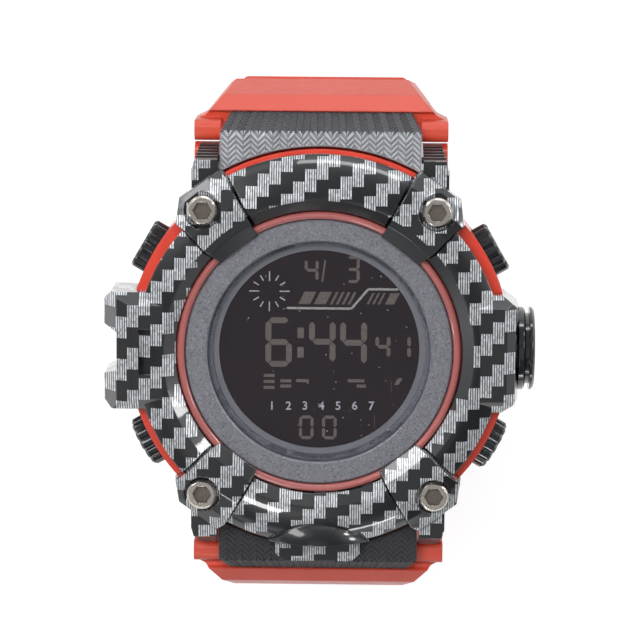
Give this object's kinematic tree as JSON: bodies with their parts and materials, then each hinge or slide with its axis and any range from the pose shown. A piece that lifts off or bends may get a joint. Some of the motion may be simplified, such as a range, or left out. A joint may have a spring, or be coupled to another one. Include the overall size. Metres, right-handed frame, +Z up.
{
  "type": "digital watch",
  "caption": "Sports wristwatch with a round digital display, screwed bezel with corner clamps, side pushers, a round side button and an open two part resin strap with a buckle.",
  "frame": {"origin": "centre of the whole watch in plan, on the surface that its open strap halves stand on", "axes": "+X to 3 o'clock, +Y to 12 o'clock, +Z up out of the dial"},
  "size_m": [0.0566, 0.0694, 0.0724],
  "materials": {
    "red_case": "satin",
    "red_resin": "satin",
    "black_rubber": "textured",
    "carbon_print": "glossy",
    "black_gloss": "glossy",
    "screw_steel": "satin",
    "steel": "satin",
    "clear_glass": "glossy",
    "grey_ring": "speckled",
    "red_ring": "glossy",
    "dark_mask": "matt",
    "display": "glossy",
    "light_sheet": "matt",
    "seal_rubber": "matt",
    "white_plastic": "matt",
    "board": "satin",
    "chip_black": "matt",
    "brass": "satin"
  },
  "bodies": {
    "head": {"case_body": "red_case", "case_back": "steel", "case_back_gasket": "seal_rubber", "case_back_screws": "steel", "bezel_guard": "carbon_print", "bezel_screws": "screw_steel", "accent_ring": "red_ring", "crystal_ring": "grey_ring", "crystal": "clear_glass", "dial_mask": "dark_mask", "lcd_panel": "display", "backlight": "light_sheet", "zebra_strips": "seal_rubber", "module_frame_upper": "white_plastic", "circuit_board": "board", "chip": "chip_black", "quartz_can": "steel", "module_frame_lower": "white_plastic", "battery": "steel", "battery_clip": "steel", "button_contacts": "brass", "buzzer_disc": "brass", "buzzer_spring": "steel", "button_seals": "seal_rubber", "light_button_collar": "black_gloss", "light_button_spring": "steel", "spring_bar_12": "steel", "spring_bar_6": "steel", "corner_clamp_upper_right": "carbon_print", "pusher_spring_upper_right": "steel", "corner_clamp_upper_left": "carbon_print", "pusher_spring_upper_left": "steel", "corner_clamp_lower_left": "carbon_print", "pusher_spring_lower_left": "steel", "corner_clamp_lower_right": "carbon_print", "pusher_spring_lower_right": "steel"},
    "pusher_upper_right": {"pusher_cap_upper_right": "black_gloss", "pusher_stem_upper_right": "steel", "pusher_clip_upper_right": "steel"},
    "pusher_upper_left": {"pusher_cap_upper_left": "black_gloss", "pusher_stem_upper_left": "steel", "pusher_clip_upper_left": "steel"},
    "pusher_lower_left": {"pusher_cap_lower_left": "black_gloss", "pusher_stem_lower_left": "steel", "pusher_clip_lower_left": "steel"},
    "pusher_lower_right": {"pusher_cap_lower_right": "black_gloss", "pusher_stem_lower_right": "steel", "pusher_clip_lower_right": "steel"},
    "light_button": {"light_button": "black_gloss", "light_button_stem": "steel", "light_button_clip": "steel"},
    "strap_12": {"strap_12": "red_resin", "strap_insert_12": "black_rubber"},
    "strap_6": {"strap_6": "red_resin", "strap_insert_6": "black_rubber"},
    "buckle": {"buckle_frame": "steel", "buckle_pin": "steel"},
    "tongue": {"buckle_tongue": "steel"},
    "keeper": {"keeper": "red_resin"}
  },
  "joints": [
    {"name": "pusher_upper_right_press", "type": "slide", "parent": "head", "child": "pusher_upper_right", "axis": [-0.866, -0.5, 0], "range_m": [0, 0.00075], "stiffness_N_per_m": 1500, "springref_m": -0.0003, "deforming": ["pusher_spring_upper_right"]},
    {"name": "pusher_upper_left_press", "type": "slide", "parent": "head", "child": "pusher_upper_left", "axis": [0.866, -0.5, 0], "range_m": [0, 0.00075], "stiffness_N_per_m": 1500, "springref_m": -0.0003, "deforming": ["pusher_spring_upper_left"]},
    {"name": "pusher_lower_left_press", "type": "slide", "parent": "head", "child": "pusher_lower_left", "axis": [0.866, 0.5, 0], "range_m": [0, 0.00075], "stiffness_N_per_m": 1500, "springref_m": -0.0003, "deforming": ["pusher_spring_lower_left"]},
    {"name": "pusher_lower_right_press", "type": "slide", "parent": "head", "child": "pusher_lower_right", "axis": [-0.866, 0.5, 0], "range_m": [0, 0.00075], "stiffness_N_per_m": 1500, "springref_m": -0.0003, "deforming": ["pusher_spring_lower_right"]},
    {"name": "light_button_press", "type": "slide", "parent": "head", "child": "light_button", "axis": [-1, 0, 0], "range_m": [0, 0.0005], "stiffness_N_per_m": 1500, "springref_m": -0.0003, "deforming": ["light_button_spring"]},
    {"name": "strap_12_hinge", "type": "hinge", "parent": "head", "child": "strap_12", "pos_m": [0, 0.0245, 0.0612], "axis": [1, 0, 0], "range_deg": [-10, 0]},
    {"name": "strap_6_hinge", "type": "hinge", "parent": "head", "child": "strap_6", "pos_m": [0, -0.0245, 0.0612], "axis": [1, 0, 0], "range_deg": [0, 10]},
    {"name": "buckle_hinge", "type": "hinge", "parent": "strap_12", "child": "buckle", "pos_m": [0, 0.02787, 0.0122], "axis": [1, 0, 0], "range_deg": [-45, 60]},
    {"name": "tongue_hinge", "type": "hinge", "parent": "buckle", "child": "tongue", "pos_m": [0, 0.02787, 0.0122], "axis": [1, 0, 0], "range_deg": [0, 60]},
    {"name": "keeper_slide", "type": "slide", "parent": "strap_12", "child": "keeper", "axis": [0, -0.1219, -0.9925], "range_m": [-0.008, 0.002]}
  ]
}
